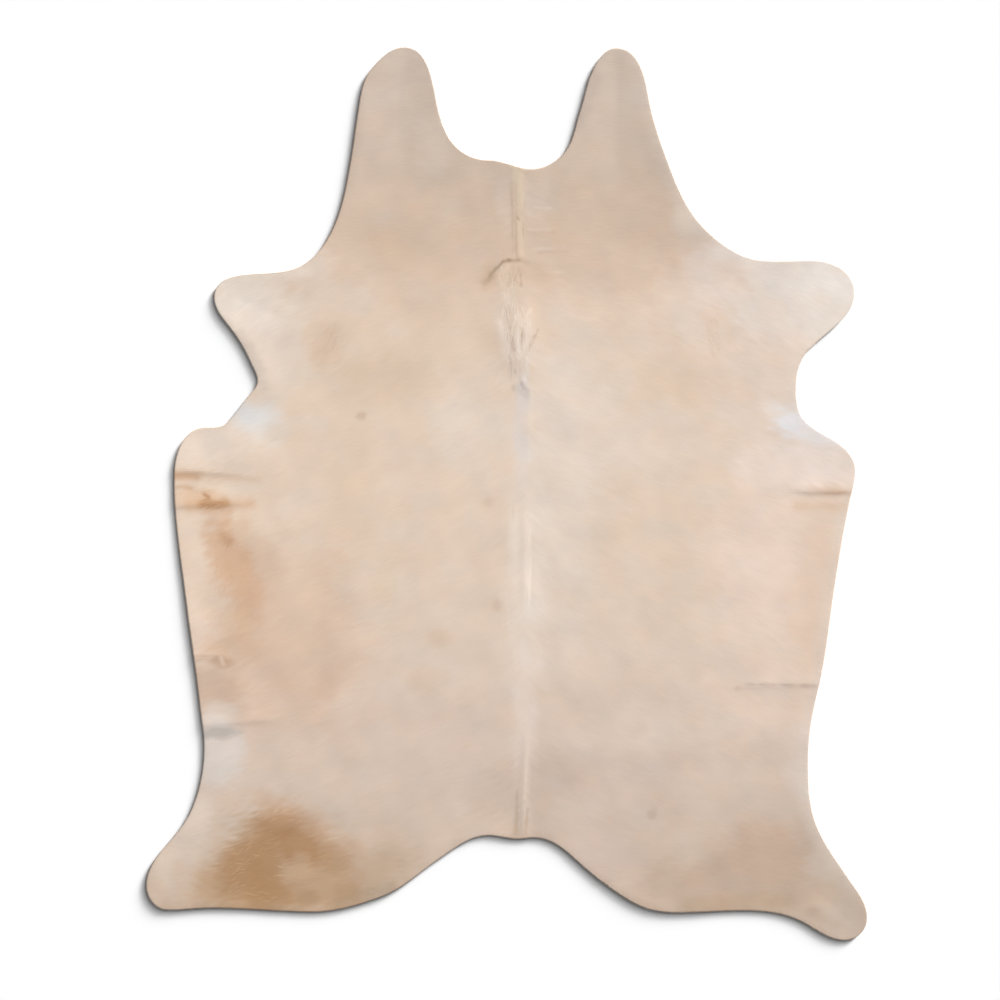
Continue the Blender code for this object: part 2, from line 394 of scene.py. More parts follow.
suede, tree, shader = new_material("suede")
place = node(tree, "ShaderNodeTexCoord").outputs["Object"]
cloudy = node(tree, "ShaderNodeTexNoise", {"Vector": place, "Scale": 7.0, "Detail": 5.0})
nap = node(tree, "ShaderNodeTexNoise", {"Vector": place, "Scale": 900.0, "Detail": 3.0})
pores = node(tree, "ShaderNodeTexVoronoi", {"Vector": place, "Scale": 260.0})
shade = node(tree, "ShaderNodeMath", {0: cloudy.outputs["Fac"], 1: nap.outputs["Fac"]},
             operation="MULTIPLY")
stretched = node(tree, "ShaderNodeMapRange", {"Value": shade.outputs[0], "From Min": 0.12,
                                              "From Max": 0.42})
colour = mixed(tree, stretched.outputs[0], SUEDE_SHADE, SUEDE_COLOUR)
bend = node(tree, "ShaderNodeTexNoise", {"Vector": place, "Scale": 3.5, "Detail": 3.0})
bent = node(tree, "ShaderNodeVectorMath", {0: bend.outputs["Color"], 1: (0.22, 0.22, 0.0),
                                           2: place}, operation="MULTIPLY_ADD")
cells = node(tree, "ShaderNodeTexVoronoi", {"Vector": bent.outputs[0], "Scale": 7.0},
             feature="DISTANCE_TO_EDGE")
vein = node(tree, "ShaderNodeMapRange", {"Value": cells.outputs["Distance"], "From Min": 0.0,
                                         "From Max": 0.030, "To Min": 0.22, "To Max": 0.0})
seen = node(tree, "ShaderNodeMath", {0: vein.outputs[0], 1: cloudy.outputs["Fac"]},
            operation="MULTIPLY")
colour = mixed(tree, seen.outputs[0], colour, VEIN_COLOUR)
tree.links.new(colour, shader.inputs["Base Color"])
fuzz = node(tree, "ShaderNodeMath", {0: nap.outputs["Fac"], 1: pores.outputs["Distance"]},
            operation="ADD")
bump = node(tree, "ShaderNodeBump", {"Height": fuzz.outputs[0], "Distance": 0.0004,
                                     "Strength": 0.6})
tree.links.new(bump.outputs[0], shader.inputs["Normal"])
shader.inputs["Roughness"].default_value = 0.92
shader.inputs["Sheen Weight"].default_value = 0.25
leather.data.materials.append(suede)

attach(leather, "root")
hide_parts("cowhide")

# The coat: short cattle hair, about 15 mm long, that grows from the leather, lies flat and points
# away from the neck and the spine. It is cream, greyer at the neck and the rump, with tan, brown
# and white markings.
COAT = 0.0018
COAT_EDGE = (
    # inset from the hair's edge, share of the coat's height
    (0.0042, 0.0),
    (0.0014, 0.06),
    (0.0003, 0.30),
    (0.0000, 0.50),
    (0.0006, 0.74),
    (0.0020, 0.93),
    (0.0045, 1.0),
)
COAT_SINK = 0.0003
COAT_STEP = 0.0082
FINE_ZONES = (
    # name, low x, low y, high x, high y, grid step
    ("mane", -0.075, 0.235, 0.115, 0.82, 0.003),
    ("back line", 0.015, -0.32, 0.08, 0.03, 0.0036),
    ("rump line", 0.005, -0.86, 0.075, -0.6, 0.0036),
    ("hind patch", -0.74, -1.04, -0.39, -0.78, 0.0038),
    ("left flank marks", -0.84, -0.15, -0.62, 0.09, 0.0038),
    ("right flank marks", 0.65, -0.05, 0.86, 0.03, 0.0038),
)

MANE_X = 0.034
MANE_TOP = 0.580
MANE_FOOT = 0.270
MANE_HEIGHT = 0.0025
MANE_HALF_WIDTH = 0.045
MANE_FADE = 0.5

SPINE_NECK_X = 0.031
SPINE_BACK_X = 0.045
SPINE_BOW_START_Y = 0.40
SPINE_BOW_LENGTH = 0.50

COMB_SLOPES = (
    # place along the hide, y, how far the hair runs back for each metre out from the spine
    ("poll", 0.8, 0.05),
    ("neck", 0.6, 0.1),
    ("shoulders", 0.35, 0.3),
    ("back", 0.0, 0.35),
    ("loin", -0.45, 0.42),
    ("rump", -0.85, 0.35),
    ("hind legs", -1.0, 0.22),
)
SPINE_SWEEP = 0.030
SPINE_SWEEP_WIDTH = 0.035

WAVES = 14
WAVE_PACE = 0.6
WAVE_PACE_SPREAD = 0.8
CLUMPS = (
    # follows the comb, height, size along, size across, seed
    (True, 0.000015, 0.090, 0.022, 11),
    (False, 0.00009, 0.110, 0.110, 12),
)
MOTTLE = (
    # follows the comb, share of the light, size along, size across, seed
    (False, 0.016, 0.17, 0.13, 21),
    (False, 0.006, 0.06, 0.05, 24),
    (True, 0.005, 0.10, 0.035, 22),
)
WARMTH = (
    # follows the comb, share of the warm shift, size along, size across, seed
    (False, 1.0, 0.13, 0.11, 23),
    (False, 0.6, 0.05, 0.06, 25),
)
WARM_SHIFT = (0.006, -0.001, -0.007)

LIT = 1.083

TONES = (
    # place along the hide, y, red, green and blue from 0 to 255
    ("ears", 1.0, 207, 189, 174),
    ("poll", 0.8, 208, 187, 169),
    ("neck", 0.66, 210, 187, 167),
    ("neck root", 0.56, 216, 192, 172),
    ("withers", 0.48, 221, 198, 178),
    ("shoulders", 0.3, 223, 202, 182),
    ("back", 0.1, 225, 204, 185),
    ("mid back", -0.15, 223, 202, 183),
    ("loin", -0.4, 220, 200, 183),
    ("croup", -0.55, 216, 195, 179),
    ("rump", -0.75, 211, 191, 175),
    ("hind legs", -0.95, 202, 181, 163),
)

PATCHES = (
    # name, x, y, half width, half height, turn in degrees, softness, strength, red, green, blue
    ("left poll", -0.185, 0.87, 0.04, 0.07, 0, 1.2, 0.5, 222, 205, 190),
    ("left neck", -0.265, 0.603, 0.07, 0.045, 0, 1.4, 0.5, 204, 179, 156),
    ("right neck", 0.365, 0.69, 0.07, 0.09, 0, 1.4, 0.5, 205, 181, 162),
    ("right neck rim", 0.46, 0.675, 0.05, 0.05, 0, 1.2, 0.45, 216, 200, 189),
    ("poll parting", 0.03, 0.77, 0.015, 0.05, 0, 0.8, 0.6, 224, 206, 180),
    ("poll right", 0.07, 0.745, 0.035, 0.06, 0, 1.2, 0.5, 222, 202, 186),
    ("poll left", -0.06, 0.795, 0.035, 0.035, 0, 1.2, 0.4, 222, 198, 178),
    ("left foreleg", -0.66, 0.48, 0.12, 0.095, -10, 1.0, 0.8, 236, 224, 212),
    ("left elbow", -0.603, 0.358, 0.09, 0.12, 0, 1.2, 0.6, 224, 208, 196),
    ("right foreleg", 0.735, 0.495, 0.2, 0.11, 0, 0.9, 0.9, 233, 222, 212),
    ("right foreleg toe", 0.825, 0.545, 0.05, 0.035, -35, 1.2, 0.6, 246, 237, 230),
    ("right throat rim", 0.59, 0.575, 0.07, 0.03, -15, 1.2, 0.65, 240, 222, 211),
    ("right breast", 0.455, 0.48, 0.06, 0.09, 0, 1.4, 0.45, 236, 218, 205),
    ("right elbow", 0.598, 0.333, 0.16, 0.2, 0, 1.2, 0.6, 230, 211, 198),
    # Painted shade: a darker band along the underside of the left foreleg, for the shade on the armpit side
    # of the rim.
    ("left foreleg rim painted shade", -0.64, 0.345, 0.02, 0.066, 28, 1.2, 0.5, 190, 179, 167),
    ("left elbow spot", -0.447, 0.38, 0.045, 0.045, 0, 1.4, 0.45, 205, 177, 153),
    ("left throat corner", -0.45, 0.6, 0.03, 0.025, 0, 1.4, 0.4, 205, 178, 157),
    ("left breast", -0.43, 0.49, 0.11, 0.055, 0, 1.4, 0.45, 230, 213, 197),
    ("left shoulder", -0.328, 0.283, 0.1, 0.07, 0, 1.4, 0.35, 211, 183, 157),
    ("left throat", -0.51, 0.57, 0.08, 0.045, 20, 1.2, 0.55, 230, 213, 199),
    ("right throat", 0.505, 0.575, 0.06, 0.045, 0, 1.0, 0.8, 228, 211, 199),
    ("right withers", 0.165, 0.24, 0.11, 0.19, 0, 1.4, 0.6, 231, 214, 200),
    ("left withers", -0.092, 0.175, 0.085, 0.095, 0, 1.4, 0.45, 230, 216, 204),
    ("right shoulder", 0.473, 0.27, 0.11, 0.07, 0, 1.4, 0.4, 217, 190, 164),
    ("left armpit", -0.623, 0.181, 0.068, 0.036, -20, 1.4, 0.85, 225, 221, 217),
    ("left armpit inside", -0.655, 0.205, 0.03, 0.022, -40, 1.4, 0.6, 214, 212, 211),
    ("right armpit inside", 0.68, 0.205, 0.045, 0.026, -20, 1.2, 0.5, 238, 229, 223),
    ("right armpit", 0.752, 0.16, 0.08, 0.034, -27, 0.9, 0.9, 234, 233, 236),
    ("right flank top", 0.745, 0.078, 0.14, 0.06, 0, 1.2, 0.7, 241, 225, 216),
    ("left flank top", -0.738, 0.125, 0.11, 0.045, 0, 1.0, 0.75, 236, 219, 204),
    ("left flank", -0.54, -0.368, 0.17, 0.22, 0, 1.2, 0.7, 213, 183, 160),
    ("left flank tan", -0.775, -0.01, 0.06, 0.025, 0, 1.2, 0.65, 220, 184, 151),
    ("left flank inside", -0.615, -0.235, 0.045, 0.15, 12, 1.2, 0.45, 213, 181, 157),
    ("left flank streak", -0.69, -0.175, 0.045, 0.15, 18, 1.0, 0.8, 210, 172, 141),
    ("left flank low", -0.69, -0.392, 0.08, 0.035, 0, 1.0, 0.6, 205, 170, 142),
    ("left stifle", -0.733, -0.48, 0.07, 0.055, 0, 1.0, 0.8, 199, 171, 150),
    ("left flank spot", -0.708, -0.42, 0.024, 0.014, 0, 1.0, 0.7, 192, 158, 132),
    ("left belly speck", -0.678, -0.542, 0.026, 0.018, 0, 1.2, 0.55, 196, 172, 154),
    ("left belly", -0.725, -0.65, 0.065, 0.085, 0, 0.7, 0.8, 214, 204, 196),
    ("left belly top", -0.715, -0.548, 0.045, 0.025, 0, 0.9, 0.3, 222, 212, 202),
    # Painted shadow: a grey band at the left belly crease.
    ("left belly painted crease shadow", -0.72, -0.6, 0.045, 0.014, 0, 0.9, 0.65, 170, 162, 156),
    ("left loin spot", -0.453, -0.473, 0.03, 0.035, 0, 1.2, 0.35, 196, 164, 140),
    ("left thigh", -0.8, -0.86, 0.06, 0.11, 0, 1.0, 0.6, 222, 206, 193),
    ("left hind ankle", -0.85, -0.925, 0.03, 0.045, 0, 1.2, 0.5, 226, 208, 192),
    ("left hind tip", -0.8, -0.975, 0.06, 0.05, 0, 1.2, 0.45, 188, 166, 146),
    ("left hind halo", -0.53, -0.94, 0.24, 0.13, 0, 0.9, 0.6, 203, 179, 156),
    ("left hind field left", -0.64, -0.93, 0.092, 0.145, -30, 0.9, 0.85, 184, 152, 122),
    ("left hind field right", -0.45, -0.95, 0.065, 0.13, 38, 0.8, 0.75, 187, 157, 129),
    ("left hind field foot", -0.54, -0.975, 0.18, 0.075, 0, 0.8, 0.8, 186, 154, 124),
    ("left hind field top", -0.585, -0.83, 0.07, 0.035, 0, 1.0, 0.55, 190, 158, 128),
    ("left hind foot side", -0.741, -0.985, 0.048, 0.045, 0, 1.2, 0.6, 182, 151, 121),
    ("left hind top", -0.572, -0.828, 0.064, 0.032, 0, 1.0, 0.8, 173, 134, 99),
    ("left hind core", -0.518, -0.88, 0.06, 0.04, -20, 0.8, 0.85, 172, 133, 97),
    ("left hind middle", -0.603, -0.935, 0.04, 0.09, 0, 0.9, 0.8, 172, 135, 99),
    ("left hind arm", -0.655, -0.93, 0.05, 0.085, -30, 0.9, 0.85, 171, 134, 99),
    ("left hind foot", -0.605, -1.0, 0.085, 0.035, 0, 0.9, 0.8, 171, 135, 99),
    ("left hind right", -0.435, -0.915, 0.05, 0.032, -30, 0.9, 0.75, 178, 144, 111),
    ("left hind light", -0.515, -0.945, 0.036, 0.018, 0, 0.9, 0.6, 196, 166, 137),
    ("left hind brow", -0.535, -0.803, 0.1, 0.032, -25, 1.2, 0.5, 192, 154, 122),
    ("left hind fleck", -0.496, -1.012, 0.026, 0.02, 0, 0.9, 0.7, 174, 141, 109),
    ("left loin shade", -0.19, -0.467, 0.05, 0.035, 0, 1.2, 0.5, 203, 182, 164),
    ("left hind streak", -0.325, -0.94, 0.09, 0.05, 20, 1.2, 0.6, 183, 157, 133),
    ("right hind brown", 0.642, -0.9, 0.12, 0.072, 0, 1.2, 0.65, 193, 164, 143),
    ("right hind sole", 0.48, -0.985, 0.24, 0.06, 0, 1.2, 0.75, 188, 165, 147),
    ("right hind heel", 0.684, -0.985, 0.095, 0.04, 0, 1.2, 0.5, 188, 165, 146),
    ("right hind toe", 0.825, -1.06, 0.055, 0.035, -20, 1.2, 0.6, 198, 182, 168),
    ("right rump foot", 0.247, -0.892, 0.11, 0.06, -20, 1.2, 0.4, 200, 182, 174),
    ("rump foot", 0.055, -0.755, 0.11, 0.1, 0, 1.2, 0.7, 196, 175, 159),
    ("right belly", 0.64, -0.5, 0.11, 0.14, 0, 1.4, 0.45, 230, 207, 190),
    ("right hock", 0.748, -0.668, 0.05, 0.1, 0, 1.0, 0.6, 224, 208, 196),
    ("right flank", 0.648, -0.168, 0.12, 0.2, 0, 1.4, 0.7, 235, 212, 197),
    ("right flank rim", 0.773, -0.268, 0.06, 0.22, -8, 1.0, 0.5, 232, 203, 180),
    ("withers strip", 0.04, 0.17, 0.022, 0.14, 0, 1.0, 0.7, 218, 207, 201),
    ("back line", 0.055, -0.19, 0.048, 0.26, 0, 1.4, 0.6, 233, 219, 207),
    ("rump line", 0.045, -0.545, 0.03, 0.18, 0, 1.2, 0.6, 226, 210, 198),
    ("whorl", 0.05, 0.548, 0.045, 0.024, 0, 1.2, 0.25, 197, 166, 136),
    ("whorl left", -0.04, 0.545, 0.03, 0.03, 40, 1.2, 0.4, 197, 168, 140),
    ("side spot", -0.363, 0.195, 0.013, 0.01, 0, 0.9, 0.5, 186, 156, 128),
    ("loin spot", -0.025, -0.278, 0.012, 0.014, 0, 1.2, 0.35, 188, 166, 146),
    ("back spot", -0.047, -0.018, 0.012, 0.012, 0, 1.2, 0.25, 196, 168, 142),
    ("flank spot", -0.173, -0.362, 0.03, 0.022, 0, 1.4, 0.3, 198, 170, 142),
    ("rump spot", 0.364, -0.802, 0.013, 0.013, 0, 1.0, 0.5, 176, 156, 138),
    ("hind spot", 0.765, -1.042, 0.02, 0.012, 0, 1.2, 0.4, 170, 142, 124),
    ("mane", 0.014, 0.4, 0.045, 0.11, 0, 1.2, 0.4, 232, 213, 197),
    ("right rump", 0.285, -0.68, 0.2, 0.14, 0, 1.4, 0.4, 203, 184, 172),
    ("left rump", -0.115, -0.668, 0.16, 0.12, 0, 1.4, 0.3, 208, 190, 178),
    ("left hind far fleck", -0.403, -0.99, 0.032, 0.022, 0, 0.9, 0.7, 176, 146, 116),
    ("right fold light", 0.79, 0.04, 0.06, 0.02, 0, 1.2, 0.35, 243, 224, 214),
    # Painted light: lightens the left side of the mane's crest, which the lamp leaves in shade.
    ("mane left painted light", -0.004, 0.38, 0.014, 0.05, 14, 1.2, 0.45, 240, 221, 207),
    ("whorl cream", 0.018, 0.515, 0.026, 0.03, 0, 1.2, 0.45, 226, 202, 178),
    ("left poll side", -0.003, 0.733, 0.022, 0.06, 0, 1.2, 0.4, 224, 204, 190),
    # Painted light: lightens the middle of the fan below the whorl, against the shade of the tufts there.
    ("fan middle painted light", 0.004, 0.508, 0.016, 0.026, 0, 1.2, 0.65, 240, 220, 200),
    ("mane right grey", 0.052, 0.425, 0.018, 0.05, 0, 1.2, 0.35, 221, 206, 193),
    ("left side warm", -0.39, 0.01, 0.055, 0.17, 0, 1.4, 0.45, 221, 196, 172),
    ("left side olive", -0.3, -0.215, 0.035, 0.045, 0, 1.4, 0.45, 215, 195, 170),
    ("right back cool", 0.147, -0.04, 0.07, 0.3, 0, 1.4, 0.45, 226, 213, 202),
    ("right ribs", 0.335, 0.13, 0.11, 0.09, 0, 1.4, 0.4, 229, 212, 200),
    ("right loin", 0.36, -0.59, 0.18, 0.06, 0, 1.4, 0.45, 222, 205, 190),
    ("left ribs", -0.515, -0.27, 0.06, 0.13, 0, 1.4, 0.4, 228, 203, 180),
    ("right foreleg light", 0.784, 0.54, 0.07, 0.05, 0, 1.4, 0.4, 246, 236, 228),
    ("right foreleg root", 0.534, 0.408, 0.045, 0.06, 0, 1.4, 0.4, 219, 195, 174),
    ("right shoulder top", 0.334, 0.408, 0.06, 0.06, 0, 1.4, 0.4, 232, 212, 197),
    ("left tan top", -0.66, -0.092, 0.02, 0.035, 0, 1.2, 0.6, 222, 191, 161),
    ("left tan middle", -0.628, -0.247, 0.022, 0.035, 0, 1.2, 0.55, 207, 170, 142),
    ("left tan low", -0.676, -0.322, 0.04, 0.035, 0, 1.2, 0.45, 216, 182, 150),
    ("left flank nook", -0.578, 0.15, 0.036, 0.022, 0, 1.2, 0.6, 219, 200, 182),
    ("left ribs top", -0.54, -0.042, 0.04, 0.04, 0, 1.4, 0.45, 238, 216, 198),
    ("left hind heel", -0.39, -0.892, 0.035, 0.032, 0, 1.2, 0.6, 190, 158, 132),
    ("left hind middle light", -0.515, -0.917, 0.028, 0.022, 0, 1.0, 0.5, 192, 164, 136),
    ("left forefoot tip", -0.705, 0.473, 0.022, 0.026, 0, 1.2, 0.5, 220, 206, 192),
    ("back top light", 0.022, -0.117, 0.016, 0.05, 0, 1.2, 0.6, 234, 220, 206),
    ("right neck side", 0.454, 0.688, 0.03, 0.03, 0, 1.2, 0.5, 225, 208, 190),
    ("right hock rim", 0.789, -0.922, 0.03, 0.05, 0, 1.2, 0.6, 208, 192, 178),
    ("right loin spot", 0.334, -0.592, 0.02, 0.02, 0, 1.2, 0.45, 205, 184, 166),
    ("rump line side", 0.059, -0.717, 0.01, 0.05, 0, 1.2, 0.5, 198, 178, 164),
    ("right rump nook", 0.134, -0.792, 0.03, 0.03, 0, 1.2, 0.4, 196, 184, 172),
    ("right fold foot light", 0.8, -0.015, 0.05, 0.01, 0, 1.0, 0.3, 240, 214, 198),
)
PATCH_WANDER = 0.10
PATCH_WANDER_SIZE = 0.16
PATCH_RAGGED = 0.09
PATCH_RAGGED_LENGTH = 0.055
PATCH_RAGGED_WIDTH = 0.016
PATCH_SEED_PITCH = 1000

STROKES = (
    # name, start x, start y, end x, end y, half width, strength, red, green, blue
    ("parting left", 0.012, 0.776, 0.015, 0.592, 0.003, 0.24, 176, 146, 120),
    ("parting right", 0.022, 0.776, 0.024, 0.59, 0.003, 0.3, 176, 146, 120),
    ("parting light top", 0.036, 0.8, 0.04, 0.74, 0.006, 0.6, 226, 206, 184),
    ("parting light", 0.032, 0.69, 0.039, 0.6, 0.006, 0.7, 226, 203, 177),
    ("parting cross", 0.028, 0.69, 0.04, 0.674, 0.0028, 0.6, 168, 136, 106),
    ("arch foot", -0.055, 0.526, -0.041, 0.544, 0.008, 0.27, 166, 136, 108),
    ("arch side", -0.041, 0.544, -0.028, 0.562, 0.0062, 0.42, 150, 121, 93),
    ("arch top", -0.01, 0.579, 0.006, 0.584, 0.004, 0.52, 142, 113, 84),
    ("arch end", 0.03, 0.583, 0.052, 0.577, 0.005, 0.16, 168, 136, 106),
    ("fan light", -0.02, 0.56, 0.004, 0.535, 0.012, 0.65, 228, 206, 184),
    ("fan line left", 0.016, 0.566, 0.003, 0.524, 0.0026, 0.38, 166, 134, 104),
    ("fan line right", 0.03, 0.562, 0.02, 0.534, 0.0026, 0.45, 166, 134, 104),
    ("fan line end", 0.034, 0.548, 0.036, 0.52, 0.003, 0.4, 172, 140, 110),
    ("fan strand left", -0.016, 0.537, -0.002, 0.5, 0.005, 0.6, 236, 214, 193),
    ("fan strand", 0.008, 0.52, 0.018, 0.49, 0.0045, 0.5, 228, 206, 184),
    ("mane strand top", 0.023, 0.47, 0.034, 0.434, 0.0055, 0.65, 236, 218, 200),
    ("mane left upper", -0.016, 0.428, -0.002, 0.378, 0.006, 0.65, 240, 222, 207),
    ("mane left lower", -0.002, 0.378, 0.01, 0.345, 0.0055, 0.7, 236, 220, 208),
    ("mane dark", 0.005, 0.415, 0.02, 0.358, 0.0045, 0.44, 178, 153, 138),
    ("mane bright", 0.027, 0.41, 0.031, 0.342, 0.005, 0.85, 243, 230, 218),
    ("mane right", 0.059, 0.435, 0.045, 0.37, 0.0065, 0.3, 234, 216, 200),
    ("mane notch", 0.037, 0.414, 0.038, 0.392, 0.0035, 0.6, 180, 148, 124),
    ("mane side line", 0.077, 0.41, 0.056, 0.366, 0.0036, 0.48, 180, 152, 130),
    ("mane foot left", 0.002, 0.342, 0.027, 0.292, 0.0055, 0.65, 234, 218, 206),
    ("mane foot right", 0.052, 0.342, 0.045, 0.285, 0.0065, 0.7, 234, 223, 216),
    ("mane foot line", 0.006, 0.344, 0.02, 0.305, 0.003, 0.42, 178, 154, 138),
    ("mane foot point", 0.037, 0.279, 0.051, 0.258, 0.0034, 0.35, 178, 162, 156),
    ("withers speck", 0.015, 0.268, 0.018, 0.26, 0.0045, 0.35, 184, 156, 132),
    ("withers dark", 0.036, 0.274, 0.041, 0.262, 0.004, 0.55, 160, 148, 146),
    ("withers edge", 0.062, 0.25, 0.056, 0.08, 0.004, 0.25, 236, 226, 206),
    ("back thread", 0.058, -0.09, 0.0535, -0.118, 0.0024, 0.36, 240, 226, 212),
    ("back thread foot", 0.0592, -0.158, 0.0548, -0.268, 0.0025, 0.46, 243, 229, 216),
    ("back thread left", 0.0135, -0.024, 0.0105, -0.077, 0.003, 0.35, 232, 217, 203),
    ("rump thread", 0.049, -0.612, 0.044, -0.742, 0.0045, 0.3, 222, 204, 188),
    ("rump thread foot", 0.044, -0.742, 0.04, -0.85, 0.0035, 0.35, 216, 197, 178),
    ("rump shade left", 0.026, -0.742, 0.024, -0.85, 0.006, 0.45, 176, 150, 126),
    ("rump shade right", 0.051, -0.79, 0.047, -0.85, 0.004, 0.5, 178, 150, 126),
    ("left upper fold", -0.835, 0.046, -0.775, 0.043, 0.012, 0.7, 198, 154, 116),
    ("left upper fold end", -0.775, 0.046, -0.62, 0.036, 0.008, 0.28, 208, 174, 145),
    ("left fleck", -0.82, 0.018, -0.79, 0.014, 0.007, 0.5, 196, 156, 120),
    ("left fold light", -0.765, 0.022, -0.68, 0.012, 0.0095, 0.55, 234, 213, 191),
    ("left mark", -0.762, -0.026, -0.7, -0.024, 0.011, 0.85, 188, 140, 96),
    ("left mark top", -0.755, -0.002, -0.744, -0.008, 0.005, 0.75, 170, 122, 84),
    ("left mark halo", -0.79, -0.03, -0.64, -0.024, 0.017, 0.5, 212, 170, 134),
    ("left curl", -0.708, -0.103, -0.692, -0.118, 0.01, 0.7, 190, 146, 110),
    ("left tan fall", -0.708, -0.05, -0.7, -0.1, 0.014, 0.4, 222, 186, 156),
    ("stifle line", -0.775, -0.404, -0.715, -0.408, 0.0035, 0.45, 184, 152, 128),
    ("stifle curl", -0.714, -0.408, -0.707, -0.424, 0.0034, 0.45, 236, 220, 203),
    ("right fold", 0.76, 0.007, 0.856, 0.006, 0.012, 0.28, 212, 172, 140),
    ("right fold end", 0.8, 0.003, 0.86, 0.002, 0.007, 0.3, 202, 157, 128),
    ("right fold foot", 0.725, -0.031, 0.845, -0.034, 0.012, 0.46, 218, 188, 160),
    ("right belly line", 0.597, -0.475, 0.78, -0.48, 0.0028, 0.45, 178, 152, 138),
    ("right belly speck", 0.573, -0.486, 0.576, -0.486, 0.005, 0.35, 180, 154, 136),
    ("arch bend", -0.028, 0.562, -0.01, 0.579, 0.004, 0.52, 138, 110, 82),
    ("arch crown", 0.006, 0.584, 0.03, 0.583, 0.0042, 0.42, 148, 118, 88),
    ("parting light right", 0.05, 0.78, 0.056, 0.7, 0.008, 0.5, 221, 201, 185),
    ("mane foot shade", 0.026, 0.264, 0.05, 0.246, 0.01, 0.5, 194, 181, 172),
    # Painted shade: these strokes darken the hair along the cut on the lower and left-facing rims, where
    # the lamp lights the curled-up rim more.
    ("right sole rim painted shade", 0.45, -1.028, 0.7, -1.02, 0.022, 0.7, 180, 153, 127),
    ("right toe rim painted shade", 0.7, -1.02, 0.82, -1.08, 0.022, 0.5, 184, 162, 144),
    ("left neck rim painted shade", -0.372, 0.99, -0.4, 0.77, 0.018, 0.45, 188, 170, 156),
    ("left neck shade", -0.3, 0.95, -0.34, 0.8, 0.03, 0.35, 196, 174, 160),
    ("right ear rim painted shade", 0.225, 1.04, 0.185, 0.93, 0.016, 0.45, 184, 168, 156),
    # Painted light and painted shade: the wrinkles are light lines, some with a darker line below, for
    # small ripples in the hair that are not modelled.
    ("neck wrinkle top", 0.064, 0.716, 0.114, 0.712, 0.003, 0.34, 228, 210, 196),
    ("neck wrinkle middle", 0.054, 0.661, 0.108, 0.66, 0.003, 0.34, 228, 210, 196),
    ("neck wrinkle middle shade", 0.07, 0.652, 0.12, 0.652, 0.003, 0.2, 190, 164, 144),
    ("neck wrinkle low", 0.066, 0.612, 0.146, 0.615, 0.0034, 0.3, 228, 208, 192),
    ("neck wrinkle low shade", 0.08, 0.604, 0.15, 0.606, 0.0034, 0.2, 188, 162, 142),
    ("whorl wrinkle", 0.118, 0.552, 0.15, 0.551, 0.0028, 0.5, 232, 212, 194),
    ("back thread shade", 0.066, -0.11, 0.0655, -0.27, 0.003, 0.15, 198, 178, 160),
    ("mane foot join", 0.02, 0.305, 0.037, 0.28, 0.0032, 0.24, 182, 160, 146),
    ("mane fork left", -0.009, 0.456, 0.003, 0.434, 0.0034, 0.5, 238, 219, 203),
    ("mane fork left shade", 0.0, 0.452, 0.007, 0.428, 0.0028, 0.36, 184, 158, 138),
    ("mane fork right", 0.06, 0.462, 0.044, 0.434, 0.0036, 0.5, 238, 221, 205),
    ("mane middle shade", 0.013, 0.47, 0.017, 0.436, 0.0026, 0.3, 190, 164, 142),
    # Painted shade and painted light: the edge strokes paint the hair along the cut darker or lighter, to
    # even out the lamp's shading of the curled rim.
    ("right heel edge", 0.209, -0.95, 0.284, -1.002, 0.012, 0.28, 172, 150, 132),
    ("right heel edge low", 0.284, -1.002, 0.372, -1.032, 0.012, 0.36, 170, 148, 130),
    ("right sole edge", 0.372, -1.036, 0.6, -1.04, 0.013, 0.14, 170, 148, 128),
    ("right toe edge", 0.6, -1.04, 0.68, -1.056, 0.013, 0.26, 168, 147, 129),
    ("right toe edge end", 0.68, -1.056, 0.8, -1.108, 0.015, 0.34, 170, 150, 134),
    ("right belly edge", 0.785, -0.4, 0.757, -0.64, 0.015, 0.42, 200, 178, 164),
    ("right throat edge", 0.535, 0.612, 0.62, 0.578, 0.018, 0.5, 243, 227, 214),
    ("left foreleg top edge", -0.66, 0.54, -0.5, 0.556, 0.014, 0.55, 242, 228, 214),
    ("left foreleg low edge", -0.711, 0.438, -0.651, 0.358, 0.012, 0.32, 190, 172, 156),
    ("left sole edge", -0.853, -1.028, -0.516, -1.038, 0.012, 0.28, 158, 132, 106),
    ("left heel edge", -0.3, -1.006, -0.15, -0.916, 0.012, 0.28, 172, 150, 132),
    ("tail notch edge", -0.128, -0.874, 0.1, -0.856, 0.011, 0.22, 172, 152, 136),
    ("back thread middle", 0.0535, -0.118, 0.0592, -0.158, 0.0025, 0.46, 243, 229, 216),
    ("back thread left foot", 0.0105, -0.077, 0.002, -0.125, 0.003, 0.3, 232, 217, 203),
    ("back thread left shade", 0.017, -0.015, 0.016, -0.062, 0.0024, 0.28, 196, 178, 160),
    ("fan wedge", -0.018, 0.549, 0.003, 0.569, 0.0055, 0.5, 232, 207, 183),
    ("left tan edge", -0.712, -0.11, -0.68, -0.242, 0.01, 0.22, 206, 168, 138),
    # Painted shade on the rim of the left heel.
    ("left heel shade", -0.42, -1.02, -0.29, -0.985, 0.016, 0.4, 158, 136, 112),
)
STROKE_WAVER = 0.0012
STROKE_WAVER_SIZE = 0.035
STROKE_SEED = 31

# Painted light: the hair along the right rim is painted paler, to offset the shade that the lamp puts on
# the slope of the curled rim there.
RIM_PAINTED_LIGHT = (240, 227, 216)
RIM_PAINTED_LIGHT_SHARE = 0.38
RIM_PAINTED_LIGHT_WIDTH = 0.024
RIM_PAINTED_LIGHT_START_X = 0.20
RIM_PAINTED_LIGHT_FADE_X = 0.25
RIM_PAINTED_LIGHT_START_Y = -1.06
RIM_PAINTED_LIGHT_FADE_Y = 0.12


